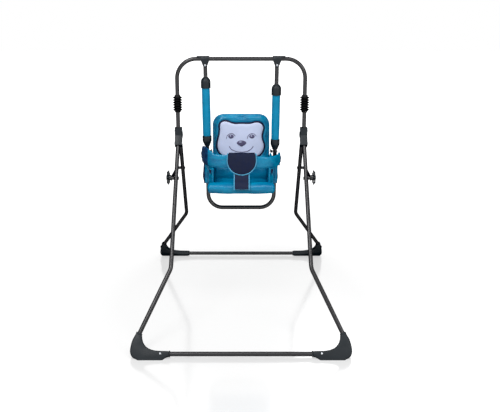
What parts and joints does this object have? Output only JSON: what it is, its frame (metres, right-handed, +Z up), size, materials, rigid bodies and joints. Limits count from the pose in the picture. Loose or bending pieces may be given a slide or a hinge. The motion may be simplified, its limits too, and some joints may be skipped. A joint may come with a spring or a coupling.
{
  "type": "toddler swing on a folding stand",
  "caption": "Free-standing toddler swing: an arch on two splayed tube leg frames, with a padded fabric seat hung from the top bar on two sleeved tubes. The rear legs fold.",
  "frame": {"origin": "on the floor, in the middle of the stand across and midway between the front and rear shoes", "axes": "+Z up, +X to the right as seen from the front, the child faces -Y"},
  "size_m": [0.9376, 1.2122, 1.2083],
  "materials": {
    "frame_paint": "satin charcoal paint",
    "black_plastic": "moulded, satin",
    "black_rubber": "matt",
    "zinc_steel": "bright zinc plate",
    "foam_sleeve": "foam under thin cloth",
    "blue_vinyl": "glossy coated cloth",
    "navy_cloth": "woven",
    "plywood": "raw"
  },
  "bodies": {
    "stand": {"upright_left": "frame_paint", "upright_right": "frame_paint", "ribbed_gaiter_left": "black_rubber", "ribbed_gaiter_right": "black_rubber", "hinge_housing_left": "black_plastic", "hinge_housing_right": "black_plastic", "hinge_pin_left": "zinc_steel", "hinge_pin_right": "zinc_steel", "upright_bolt_left": "zinc_steel", "upright_bolt_right": "zinc_steel", "front_leg_bolt_left": "zinc_steel", "front_leg_bolt_right": "zinc_steel", "front_leg_left": "frame_paint", "front_leg_right": "frame_paint", "front_corner_boot_left": "black_plastic", "front_corner_boot_right": "black_plastic", "front_boot_screw_left": "zinc_steel", "front_boot_screw_right": "zinc_steel", "clamp_stud_left": "zinc_steel", "clamp_stud_right": "zinc_steel", "top_arch": "frame_paint", "front_foot_bar": "frame_paint"},
    "rear_frame": {"rear_leg_left": "frame_paint", "rear_leg_right": "frame_paint", "rear_corner_boot_left": "black_plastic", "rear_corner_boot_right": "black_plastic", "rear_boot_screw_left": "zinc_steel", "rear_boot_screw_right": "zinc_steel", "stay_rivet_left": "frame_paint", "stay_rivet_right": "frame_paint", "rear_foot_bar": "frame_paint"},
    "swing": {"pivot_bracket_left": "black_plastic", "pivot_bracket_right": "black_plastic", "bracket_bolt_left": "zinc_steel", "bracket_bolt_right": "zinc_steel", "hanger_tube_left": "frame_paint", "hanger_tube_right": "frame_paint", "seat_bolt_left": "zinc_steel", "seat_bolt_right": "zinc_steel", "side_panel_left": "blue_vinyl", "side_panel_right": "blue_vinyl", "seat_frame_tube": "frame_paint", "seat_board": "plywood", "back_board": "plywood", "seat_pad": "blue_vinyl", "back_pad": "blue_vinyl", "belly_band": "blue_vinyl", "crotch_strap": "navy_cloth"},
    "stay_left": {"stay_left": "frame_paint"},
    "knob_left": {"clamp_knob_left": "black_plastic"},
    "sleeve_left": {"sleeve_top_cap_left": "black_plastic", "foam_sleeve_left": "foam_sleeve", "sleeve_bottom_cap_left": "black_plastic"},
    "wing_nut_left": {"wing_nut_left": "black_plastic"},
    "stay_right": {"stay_right": "frame_paint"},
    "knob_right": {"clamp_knob_right": "black_plastic"},
    "sleeve_right": {"sleeve_top_cap_right": "black_plastic", "foam_sleeve_right": "foam_sleeve", "sleeve_bottom_cap_right": "black_plastic"},
    "wing_nut_right": {"wing_nut_right": "black_plastic"}
  },
  "joints": [
    {"name": "rear_fold", "type": "hinge", "parent": "stand", "child": "rear_frame", "pos_m": [0, 0.03, 0.835], "axis": [-1, 0, 0], "range_deg": [0, 67]},
    {"name": "stay_left_turn", "type": "hinge", "parent": "rear_frame", "child": "stay_left", "pos_m": [-0.2932, 0.16213, 0.638], "axis": [1, 0, 0], "range_deg": [0, 128.96]},
    {"name": "knob_left_turn", "type": "hinge", "parent": "stand", "child": "knob_left", "pos_m": [-0.30032, -0.12307, 0.661], "axis": [1, 0, 0], "range_deg": [0, 180]},
    {"name": "stay_right_turn", "type": "hinge", "parent": "rear_frame", "child": "stay_right", "pos_m": [0.2932, 0.16213, 0.638], "axis": [1, 0, 0], "range_deg": [0, 128.96]},
    {"name": "knob_right_turn", "type": "hinge", "parent": "stand", "child": "knob_right", "pos_m": [0.30032, -0.12307, 0.661], "axis": [1, 0, 0], "range_deg": [0, 180]},
    {"name": "swing_hinge", "type": "hinge", "parent": "stand", "child": "swing", "pos_m": [0, 0, 1.195], "axis": [1, 0, 0], "range_deg": [-40, 40]},
    {"name": "sleeve_left_slide", "type": "slide", "parent": "swing", "child": "sleeve_left", "axis": [-0.0114, 0, 0.9999], "range_m": [-0.012, 0.042]},
    {"name": "wing_nut_left_turn", "type": "hinge", "parent": "swing", "child": "wing_nut_left", "pos_m": [-0.16017, 0, 0.76], "axis": [1, 0, 0], "range_deg": [0, 180]},
    {"name": "sleeve_right_slide", "type": "slide", "parent": "swing", "child": "sleeve_right", "axis": [0.0114, 0, 0.9999], "range_m": [0, 0.074]},
    {"name": "wing_nut_right_turn", "type": "hinge", "parent": "swing", "child": "wing_nut_right", "pos_m": [0.16017, 0, 0.76], "axis": [1, 0, 0], "range_deg": [0, 180]}
  ],
  "couplings": [
    {"joint": "stay_left_turn", "follows": "rear_fold", "ratio": 1.9173},
    {"joint": "stay_right_turn", "follows": "rear_fold", "ratio": 1.9173}
  ]
}
